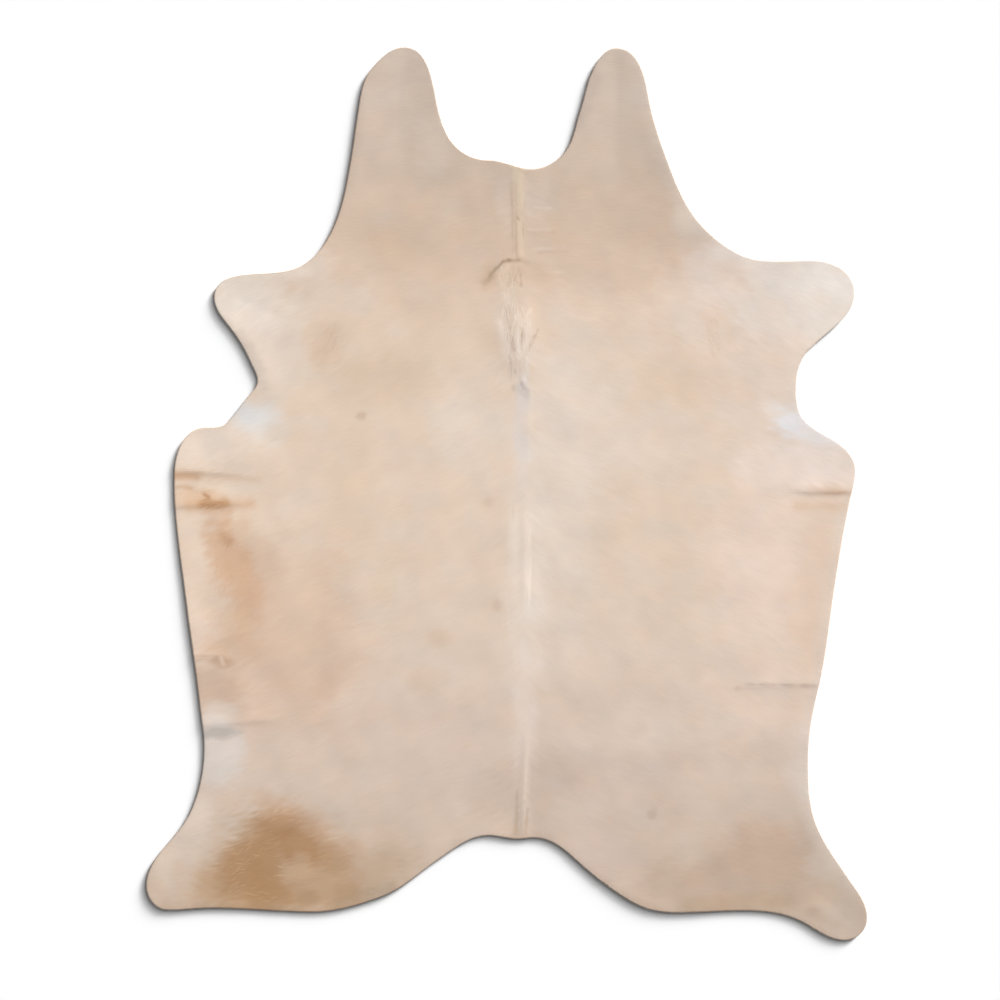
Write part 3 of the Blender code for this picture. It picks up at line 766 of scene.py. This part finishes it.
def ripples(places, size_u, size_v, seed):
    """Soft unevenness of mean 0 and size 1: the sum of sine waves that run every way, with wave
    lengths near size_u along the first coordinate and near size_v along the second."""
    random = np.random.default_rng(seed)
    total = 0.0
    for turn, pace, start in random.random((WAVES, 3)):
        angle = 2.0 * math.pi * turn
        speed = 2.0 * math.pi * (WAVE_PACE + WAVE_PACE_SPREAD * pace)
        way = (math.cos(angle) * places[..., 0] / size_u
               + math.sin(angle) * places[..., 1] / size_v)
        total = total + np.sin(speed * way + 2.0 * math.pi * start)
    return total / math.sqrt(WAVES / 2.0)


def ripple_sum(points, rows):
    """The rows' ripples, each times its own weight, over the hide or along its comb."""
    comb = comb_uv(points)
    return sum(weight * ripples(comb if combed else points, size_u, size_v, seed)
               for combed, weight, size_u, size_v, seed in rows)


def by_place(table, column, y):
    """A column of a table at each y, in a straight line from row to row."""
    rows = table[::-1]
    return np.interp(y, [row[1] for row in rows], [row[column] for row in rows])


def from_spine(points):
    """Distance to the right of the spine, which bows from its place at the neck to that at the
    back."""
    bow = smooth_step((SPINE_BOW_START_Y - points[..., 1]) / SPINE_BOW_LENGTH)
    return points[..., 0] - SPINE_NECK_X - (SPINE_BACK_X - SPINE_NECK_X) * bow


def comb_slope(points):
    """How steeply the hair runs back from the spine: the table's slope for that height, and near
    the spine the steeper sweep of exp(-distance / width)."""
    sweep = SPINE_SWEEP / SPINE_SWEEP_WIDTH
    return (by_place(COMB_SLOPES, 2, points[..., 1])
            + sweep * np.exp(-np.abs(from_spine(points)) / SPINE_SWEEP_WIDTH))


def comb_uv(points):
    """Coordinates that follow the hair: u is the distance from the spine and v stays the same
    along a hair, y + slope * |u| less the sweep beside the spine."""
    u = from_spine(points)
    v = points[..., 1] + by_place(COMB_SLOPES, 2, points[..., 1]) * np.abs(u)
    return np.stack([u, v - SPINE_SWEEP * np.exp(-np.abs(u) / SPINE_SWEEP_WIDTH)], axis=-1)


def coat_top(points):
    """The coat's surface: the leather, the flat hair, the crest of longer hair at the withers and
    a soft unevenness of the hair's clumps."""
    middle = (MANE_TOP + MANE_FOOT) / 2.0
    half_length = (MANE_TOP - MANE_FOOT) / 2.0
    along = np.clip(1.0 - np.abs(points[..., 1] - middle) / half_length, 0.0, 1.0)
    across = np.exp(-((points[..., 0] - MANE_X) / MANE_HALF_WIDTH) ** 2)
    mane = MANE_HEIGHT * smooth_step(along / MANE_FADE) * across
    return leather_top(points) + COAT + mane + ripple_sum(points, CLUMPS)


def coat_base(points):
    """The coat's lower face, sunk a little into the leather."""
    return leather_top(points) - COAT_SINK


def paint(colour):
    """The paint that looks like a colour of 0 to 255 under the lamp: the standard screen curve's
    linear light, divided by how brightly the flat hide is lit."""
    value = np.asarray(colour, dtype=float) / 255.0
    return np.where(value <= 0.04045, value / 12.92, ((value + 0.055) / 1.055) ** 2.4) / LIT


def painted(tone, share, colour):
    """The tone where a share of it is covered with a colour."""
    share = np.asarray(share)[..., None]
    return tone * (1.0 - share) + paint(colour) * share


def patch_share(points, comb, patch):
    """How strongly a marking colours each point: full within its ellipse and fading over its
    softness, with an edge that wanders and is ragged along the comb."""
    _, x, y, half_width, half_height, turn, softness, strength = patch[:8]
    seed = int(abs(x) * PATCH_SEED_PITCH) + int(abs(y) * PATCH_SEED_PITCH)
    wander_x = ripples(points, PATCH_WANDER_SIZE, PATCH_WANDER_SIZE, seed)
    wander_y = ripples(points, PATCH_WANDER_SIZE, PATCH_WANDER_SIZE, seed + 1)
    dx = points[..., 0] - x + PATCH_WANDER * half_width * wander_x
    dy = points[..., 1] - y + PATCH_WANDER * half_height * wander_y
    angle = math.radians(turn)
    u = (dx * math.cos(angle) + dy * math.sin(angle)) / half_width
    v = (dy * math.cos(angle) - dx * math.sin(angle)) / half_height
    ragged = PATCH_RAGGED * ripples(comb, PATCH_RAGGED_LENGTH, PATCH_RAGGED_WIDTH, seed + 2)
    reach = np.hypot(u, v) + ragged
    return strength * smooth_step((1.0 + softness / 2.0 - reach) / softness)


def stroke_share(points, waver, stroke):
    """How strongly a stroke colours each point: a bell across its slightly wavering line, and
    half a bell beyond each end."""
    _, start_x, start_y, end_x, end_y, half_width, strength = stroke[:7]
    run = np.array([end_x - start_x, end_y - start_y])
    offset = points - np.array([start_x, start_y])
    place = np.clip(offset @ run / (run @ run), 0.0, 1.0)
    gap = np.linalg.norm(offset - place[..., None] * run, axis=-1) + waver
    return strength * np.exp(-(gap / half_width) ** 2)


def coat_tone(points):
    """The hair's colour as linear light: the tone for that place along the hide, over it the
    markings and the strokes in their tables' order, a painted light along the right rim against the
    lamp's shade on the curled rim there, and a soft mottling. Some markings and strokes are painted
    shade or painted light too: along the rims, beside the mane's crest, in the fan below the whorl,
    at a belly crease and on small ripples of the neck."""
    tone = paint(np.stack([by_place(TONES, k, points[..., 1]) for k in (2, 3, 4)], axis=-1))
    comb = comb_uv(points)
    for patch in PATCHES:
        tone = painted(tone, patch_share(points, comb, patch), patch[8:])
    waver = STROKE_WAVER * ripples(points, STROKE_WAVER_SIZE, STROKE_WAVER_SIZE, STROKE_SEED)
    for stroke in STROKES:
        tone = painted(tone, stroke_share(points, waver, stroke), stroke[7:])
    # Painted light along the right rim, against the lamp's shade on the curled rim.
    rim_painted_light = RIM_PAINTED_LIGHT_SHARE * np.exp(-(depth(points) / RIM_PAINTED_LIGHT_WIDTH) ** 2)
    rim_painted_light = rim_painted_light * smooth_step((points[..., 0] - RIM_PAINTED_LIGHT_START_X) / RIM_PAINTED_LIGHT_FADE_X)
    rim_painted_light = rim_painted_light * smooth_step((points[..., 1] - RIM_PAINTED_LIGHT_START_Y) / RIM_PAINTED_LIGHT_FADE_Y)
    tone = painted(tone, rim_painted_light, RIM_PAINTED_LIGHT)
    mottle = ripple_sum(points, MOTTLE)[..., None]
    warmth = ripple_sum(points, WARMTH)[..., None]
    return tone * (1.0 + mottle + warmth * WARM_SHIFT)


def dress_hair(piece, tone, comb):
    """Gives a hair piece the tone and the comb coordinates of each vertex, and the coat's
    material."""
    mesh = piece.data
    colours = np.concatenate([tone, np.ones((len(tone), 1))], axis=1).astype(np.float32)
    mesh.attributes.new("tone", "FLOAT_COLOR", "POINT").data.foreach_set("color", colours.ravel())
    corner = np.empty(len(mesh.loops), dtype=np.int32)
    mesh.loops.foreach_get("vertex_index", corner)
    uv = comb[corner].astype(np.float32)
    mesh.uv_layers.new(name="comb").uv.foreach_set("vector", uv.ravel())
    mesh.materials.append(hair)


def strand_group():
    """A node group for hair that lies one way: noise drawn out along u and fine along v, in
    metres."""
    group = bpy.data.node_groups.new("strands", "ShaderNodeTree")
    for name in ("Along", "Across", "Seed"):
        group.interface.new_socket(name, in_out="INPUT", socket_type="NodeSocketFloat")
    group.interface.new_socket("Value", in_out="OUTPUT", socket_type="NodeSocketFloat")
    inputs = group.nodes.new("NodeGroupInput").outputs
    comb = node(group, "ShaderNodeUVMap", uv_map="comb")
    comb = node(group, "ShaderNodeSeparateXYZ", {0: comb.outputs[0]})
    u = node(group, "ShaderNodeMath", {0: comb.outputs["X"], 1: inputs["Along"]},
             operation="DIVIDE")
    v = node(group, "ShaderNodeMath", {0: comb.outputs["Y"], 1: inputs["Across"]},
             operation="DIVIDE")
    place = node(group, "ShaderNodeCombineXYZ", {"X": u.outputs[0], "Y": v.outputs[0],
                                                 "Z": inputs["Seed"]})
    noise = node(group, "ShaderNodeTexNoise", {"Vector": place.outputs[0], "Scale": 1.0,
                                               "Detail": 2.0, "Distortion": 0.4})
    output = group.nodes.new("NodeGroupOutput")
    group.links.new(noise.outputs["Fac"], output.inputs["Value"])
    return group


def strands_of(tree, along, across, seed):
    """Shades of strands that are about so long and so wide, from 0 to 1."""
    return node(tree, "ShaderNodeGroup", {"Along": along, "Across": across, "Seed": seed},
                node_tree=strand_shades).outputs["Value"]


def weighted(tree, base, terms):
    """base + the sum of weight * (value - 0.5) over the terms."""
    total = base
    for value, weight in terms:
        offset = node(tree, "ShaderNodeMath", {0: value, 1: weight, 2: -0.5 * weight},
                      operation="MULTIPLY_ADD").outputs[0]
        total = node(tree, "ShaderNodeMath", {0: total, 1: offset}, operation="ADD").outputs[0]
    return total


strand_shades = strand_group()
hair, tree, shader = new_material("hair")
fine = strands_of(tree, along=0.030, across=0.0010, seed=1.0)
lock = strands_of(tree, along=0.060, across=0.0060, seed=2.0)
wisp = strands_of(tree, along=0.150, across=0.0240, seed=3.0)
tone = node(tree, "ShaderNodeAttribute", attribute_name="tone").outputs["Color"]
light = weighted(tree, 1.0, ((fine, 0.22), (lock, 0.038), (wisp, 0.014)))
scaled = node(tree, "ShaderNodeVectorMath", {0: tone, "Scale": light}, operation="SCALE")
tree.links.new(scaled.outputs[0], shader.inputs["Base Color"])
height = weighted(tree, 0.5, ((fine, 0.5), (lock, 0.3)))
bump = node(tree, "ShaderNodeBump", {"Height": height, "Distance": 0.0003, "Strength": 0.5})
tree.links.new(bump.outputs[0], shader.inputs["Normal"])
gloss = weighted(tree, 0.84, ((lock, 0.16),))
tree.links.new(gloss, shader.inputs["Roughness"])
shader.inputs["Specular IOR Level"].default_value = 0.08
shader.inputs["Sheen Weight"].default_value = 0.05
shader.inputs["Sheen Roughness"].default_value = 0.5
shader.inputs["Sheen Tint"].default_value = (1.0, 0.93, 0.84, 1.0)

coat = sheet("coat", COAT_EDGE, coat_base, coat_top, LEATHER_STEP * 2, COAT_STEP, FINE_ZONES)
coat_points = np.empty(len(coat.data.vertices) * 3, dtype=np.float32)
coat.data.vertices.foreach_get("co", coat_points)
coat_plan = coat_points.reshape(-1, 3)[:, :2].astype(float)
dress_hair(coat, coat_tone(coat_plan), comb_uv(coat_plan))

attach(coat, "root")
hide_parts("cowhide")

# The tufts: small locks of the coat's own hair that stand out a little, along the parting of the
# neck, in the mane below the whorl, on the line of the back, on the flank folds, at the shoulders
# and in the brown patch of the left hind leg. Each lock is a spindle with a low ridge.
LOCK_RIDGE_SHARE = 0.014
LOCK_SINK = 0.00003
LOCK_PLACES = (0.0, 0.35, 0.72)
LOCK_GIRTHS = (0.25, 1.0, 0.62)
LOCK_TIP_SHARE = 0.2
LOCK_UNEVEN = 0.03
LOCK_CORNERS = 3

TUFTS = (
    # name, start x, start y, end x, end y, band, heading in degrees (None: along the line), fan,
    # length, width, count, share of the tuft's own colour, red, green, blue
    ("parting", 0.014, 0.8, 0.02, 0.59, 0.016, None, 4, 0.035, 0.0022, 90, 0.0, 0, 0, 0),
    ("parting right", 0.034, 0.8, 0.04, 0.6, 0.014, None, 5, 0.04, 0.0022, 90, 0.2, 232, 210, 184),
    ("arch", -0.009, 0.583, -0.053, 0.525, 0.006, None, 8, 0.026, 0.0017, 50, 0.1, 150, 120, 92),
    ("fan", 0.006, 0.575, -0.006, 0.49, 0.04, None, 10, 0.035, 0.0026, 65, 0.1, 220, 198, 176),
    ("mane", 0.018, 0.52, 0.03, 0.28, 0.06, None, 9, 0.045, 0.0026, 285, 0.1, 238, 222, 208),
    ("mane side", 0.07, 0.45, 0.046, 0.3, 0.02, None, 9, 0.045, 0.0026, 65, 0.1, 238, 222, 208),
    ("back line", 0.05, 0.02, 0.056, -0.3, 0.012, None, 3, 0.035, 0.0017, 215, 0.1, 234, 220, 207),
    ("rump line", 0.047, -0.6, 0.036, -0.845, 0.018, None, 4, 0.036, 0.0017, 215, 0.1, 228, 210, 190),
    ("hind curls top", -0.62, -0.797, -0.5, -0.8, 0.03, 200, 22, 0.022, 0.0048, 18, 0.2, 214, 178, 146),
    ("hind curls", -0.6, -0.85, -0.7, -0.96, 0.06, 205, 28, 0.024, 0.005, 34, 0.2, 212, 176, 144),
    ("hind curls foot", -0.68, -0.975, -0.57, -1.01, 0.03, 190, 22, 0.022, 0.0048, 20, 0.19, 212, 176, 144),
    ("hind dark", -0.6, -0.83, -0.64, -1.0, 0.12, 200, 18, 0.024, 0.002, 260, 0.35, 162, 124, 88),
    ("hind dark right", -0.54, -0.815, -0.4, -0.93, 0.08, 198, 18, 0.024, 0.002, 200, 0.3, 166, 128, 92),
    ("flank mark", -0.75, -0.014, -0.695, -0.034, 0.022, 200, 14, 0.022, 0.0017, 85, 0.4, 164, 116, 76),
    ("flank fold left", -0.745, 0.052, -0.8, 0.056, 0.014, 186, 5, 0.026, 0.0017, 60, 0.3, 186, 140, 102),
    ("flank fold right", -0.62, 0.04, -0.75, 0.05, 0.012, 186, 5, 0.028, 0.0017, 70, 0.1, 212, 178, 150),
    ("flank light", -0.745, 0.02, -0.665, 0.012, 0.02, 192, 8, 0.028, 0.0017, 95, 0.1, 242, 225, 208),
    ("flank curl", -0.703, -0.09, -0.69, -0.125, 0.02, 250, 14, 0.02, 0.0017, 50, 0.3, 186, 142, 106),
    ("flank streak", -0.69, -0.09, -0.67, -0.34, 0.08, 250, 10, 0.024, 0.0017, 240, 0.08, 204, 164, 132),
    ("stifle curl", -0.72, -0.404, -0.707, -0.427, 0.005, 250, 10, 0.016, 0.0017, 8, 0.25, 232, 212, 192),
    ("right fold", 0.69, 0.007, 0.83, 0.004, 0.01, -2, 4, 0.026, 0.0017, 145, 0.1, 194, 160, 132),
    ("right shoulder", 0.505, 0.443, 0.52, 0.35, 0.03, -60, 12, 0.026, 0.0017, 60, 0.4, 206, 178, 152),
    ("left shoulder", -0.44, 0.43, -0.433, 0.36, 0.03, 240, 12, 0.026, 0.0017, 60, 0.4, 200, 168, 142),
    ("hind light", -0.56, -0.95, -0.47, -0.965, 0.04, 184, 16, 0.028, 0.004, 20, 0.12, 208, 176, 146),
    ("mane plumes", 0.018, 0.49, 0.03, 0.3, 0.056, None, 16, 0.046, 0.0052, 40, 0.35, 240, 224, 210),
    ("mane plumes dark", 0.012, 0.48, 0.034, 0.31, 0.05, None, 16, 0.036, 0.003, 22, 0.3, 190, 164, 144),
    ("fan plumes", 0.004, 0.572, 0.008, 0.5, 0.05, None, 22, 0.034, 0.0046, 18, 0.35, 228, 205, 182),
)
TUFT_SEED = 5
TUFT_CURL = 0.025
TUFT_LENGTHS = (0.7, 0.5)
LOCK_WIDTHS = (0.7, 0.6)


def locks(name, root, heading, length, width, bend, tone):
    """Closed hair locks on the coat. Lock i starts at its root and runs for its length along its
    heading, drifting sideways by bend * length * t^2. Each of its cross sections has a left, a
    right and a ridge corner, and the last ones close to the tip."""
    random = np.random.default_rng(len(root))
    ridge = LOCK_RIDGE_SHARE * width
    forward = np.stack([np.cos(heading), np.sin(heading)], axis=1)
    side = np.stack([-forward[:, 1], forward[:, 0]], axis=1)
    t = np.array(LOCK_PLACES + (1.0,))
    line = (root[:, None] + (length[:, None] * t)[..., None] * forward[:, None]
            + (bend[:, None] * length[:, None] * t * t)[..., None] * side[:, None])
    half = width[:, None] / 2.0 * np.array(LOCK_GIRTHS)
    spread = half[..., None] * side[:, None]
    centre = line[:, :-1]
    rings = np.stack([centre - spread, centre + spread, centre], axis=2)
    rise = np.zeros(rings.shape[:3])
    rise[..., :2] = -LOCK_SINK
    rise[..., 2] = ridge[:, None] * np.array(LOCK_GIRTHS)
    z = coat_top(rings) + rise
    tip = line[:, -1]
    tip_z = coat_top(tip) + ridge * LOCK_TIP_SHARE
    sections = len(LOCK_PLACES)
    end = sections * LOCK_CORNERS
    body = np.concatenate([rings, z[..., None]], axis=3).reshape(len(root), end, 3)
    tip = np.concatenate([tip, tip_z[:, None]], axis=1)[:, None]
    vertices = np.concatenate([body, tip], axis=1).reshape(-1, 3)

    walls = [(0, 2, 1)]
    for first in range(0, end, LOCK_CORNERS):
        for k in range(LOCK_CORNERS):
            a, b = first + k, first + (k + 1) % LOCK_CORNERS
            if first + LOCK_CORNERS < end:
                walls += [(a, b, b + LOCK_CORNERS), (a, b + LOCK_CORNERS, a + LOCK_CORNERS)]
            else:
                walls.append((a, b, end))
    triangles = np.arange(len(root))[:, None, None] * (end + 1) + np.array(walls)
    piece = solid(name, vertices, triangles.reshape(-1, 3))
    piece.data.shade_flat()

    shade = 1.0 + LOCK_UNEVEN * random.normal(size=len(root))
    tones = np.repeat(tone * shade[:, None], end + 1, axis=0)
    u = np.concatenate([np.repeat(t[:-1], LOCK_CORNERS), t[-1:]]) * length[:, None]
    v = np.concatenate([np.tile([-0.5, 0.5, 0.0], sections), [0.0]]) * width[:, None]
    comb = np.stack([u, v + random.random(len(root))[:, None]], axis=2).reshape(-1, 2)
    dress_hair(piece, tones, comb)
    return piece


def drawn(random, count, least, spread):
    """Random shares from least to least + spread."""
    return least + spread * random.random(count)


random = np.random.default_rng(TUFT_SEED)
roots, headings, lengths, widths, curls, colours = [], [], [], [], [], []
for (_, start_x, start_y, end_x, end_y, band, heading, fan, length, width, count, share,
     *colour) in TUFTS:
    start, end = np.array([start_x, start_y]), np.array([end_x, end_y])
    run = end - start
    reach = np.linalg.norm(run)
    across = np.array([-run[1], run[0]]) / reach
    travel = max(reach - length, 0.0) / reach if heading is None else 1.0
    place = (np.arange(count) + random.random(count)) / count * travel
    shift = band * (random.random(count) - 0.5)
    root = start + place[:, None] * run + shift[:, None] * across
    course = math.atan2(run[1], run[0]) if heading is None else math.radians(heading)
    roots.append(root)
    headings.append(course + np.radians(fan) * random.normal(size=count) / 2.0)
    lengths.append(length * drawn(random, count, *TUFT_LENGTHS))
    widths.append(width * drawn(random, count, *LOCK_WIDTHS))
    curls.append(TUFT_CURL * fan * (random.random(count) - 0.5))
    colours.append(painted(coat_tone(root), share, colour))
tufts = locks("tufts", *(np.concatenate(values) for values in (roots, headings, lengths, widths,
                                                               curls, colours)))

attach(tufts, "root")
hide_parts("cowhide")

# The fringe: at the cut the coat's hair ends stick out a little over the leather, so that the rim
# is soft. A short lock starts inside the rim about every 1.4 mm and leans outward.
FRINGE_STEP = 0.0014
FRINGE_LENGTH = 0.019
FRINGE_LENGTHS = (0.7, 0.6)
FRINGE_OVERHANG = 0.0018
FRINGE_OVERHANGS = (0.2, 0.8)
FRINGE_LEAN = 1.2
FRINGE_WIDTH = 0.0016
FRINGE_CURL = 0.2
FRINGE_SEED = 6

random = np.random.default_rng(FRINGE_SEED)
rim_step = np.linalg.norm(np.roll(rim, -1, axis=0) - rim, axis=1)
rim_place = np.concatenate([[0.0], np.cumsum(rim_step)])
stations = np.arange(0.0, rim_place[-1] - FRINGE_STEP / 2.0, FRINGE_STEP)
count = len(stations)
stations = stations + FRINGE_STEP * (random.random(count) - 0.5)


def at_stations(values):
    """The rim's values at the stations, in a straight line from one rim point to the next."""
    closed = np.concatenate([values, values[:1]])
    return np.stack([np.interp(stations, rim_place, closed[:, k]) for k in (0, 1)], axis=1)


edge_point = at_stations(rim)
outward = -at_stations(inward)
flow = unit(np.stack([np.sign(from_spine(edge_point)), -comb_slope(edge_point)], axis=1))
lean = unit(flow + FRINGE_LEAN * outward)
facing = (lean * outward).sum(axis=1)
fringe_length = FRINGE_LENGTH * drawn(random, count, *FRINGE_LENGTHS)
overhang = FRINGE_OVERHANG * drawn(random, count, *FRINGE_OVERHANGS) * facing
fringe_root = edge_point + overhang[:, None] * outward - fringe_length[:, None] * lean
fringe_width = FRINGE_WIDTH * drawn(random, count, *LOCK_WIDTHS)
fringe_curl = FRINGE_CURL * (random.random(count) - 0.5)
fringe = locks("fringe", fringe_root, np.arctan2(lean[:, 1], lean[:, 0]), fringe_length,
               fringe_width, fringe_curl, coat_tone(fringe_root))

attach(fringe, "root")
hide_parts("cowhide")

# The floor: a plain matt white studio floor under the hide.
FLOOR_HALF = 200.0
FLOOR_Z = -0.0005

bpy.ops.mesh.primitive_plane_add(size=2.0 * FLOOR_HALF, location=(0.0, 0.0, FLOOR_Z))
floor = bpy.context.object
floor.name = "floor"
white, tree, shader = new_material("floor")
shader.inputs["Base Color"].default_value = (0.92, 0.92, 0.92, 1.0)
shader.inputs["Roughness"].default_value = 0.9
shader.inputs["Specular IOR Level"].default_value = 0.1
floor.data.materials.append(white)

# The light: a tall strip lamp at the upper right, which reaches from low to high and shades the
# left and lower rims softly, and an even white room.
LAMP_AZIMUTH = 48.0
LAMP_HEIGHTS = (45.0, 30.0, 22.0, 17.0, 14.0, 12.0)
LAMP_WIDTH = 12.0
LAMP_LIGHT = 2.87
ROOM_LIGHT = 0.175

for number, lamp_height in enumerate(LAMP_HEIGHTS):
    lamp_data = bpy.data.lights.new("lamp_%d" % number, "SUN")
    lift = math.radians(lamp_height)
    lamp_data.energy = LAMP_LIGHT / len(LAMP_HEIGHTS) / math.sin(lift)
    lamp_data.angle = math.radians(LAMP_WIDTH)
    lamp = bpy.data.objects.new("lamp_%d" % number, lamp_data)
    lamp.rotation_euler = (0.0, math.pi / 2.0 - lift, math.radians(LAMP_AZIMUTH))
    bpy.context.scene.collection.objects.link(lamp)

room = bpy.data.worlds.new("room")
room.use_nodes = True
room.node_tree.nodes["Background"].inputs["Color"].default_value = (1.0, 1.0, 1.0, 1.0)
room.node_tree.nodes["Background"].inputs["Strength"].default_value = ROOM_LIGHT
bpy.context.scene.world = room
bpy.context.scene.view_settings.view_transform = "Standard"

# The camera: a long lens straight above the hide. The frame is 2.5 m wide on the floor, and its
# middle lies a little left of and below the hide's.
FRAME_WIDTH = 2.5
LENS = 100.0
SENSOR = 36.0
FRAME_X = -0.0169
FRAME_Y = -0.0156

camera_data = bpy.data.cameras.new("camera")
camera_data.lens = LENS
camera_data.sensor_width = SENSOR
camera = bpy.data.objects.new("camera", camera_data)
camera.location = (FRAME_X, FRAME_Y, FRAME_WIDTH * LENS / SENSOR)
bpy.context.scene.collection.objects.link(camera)
bpy.context.scene.camera = camera
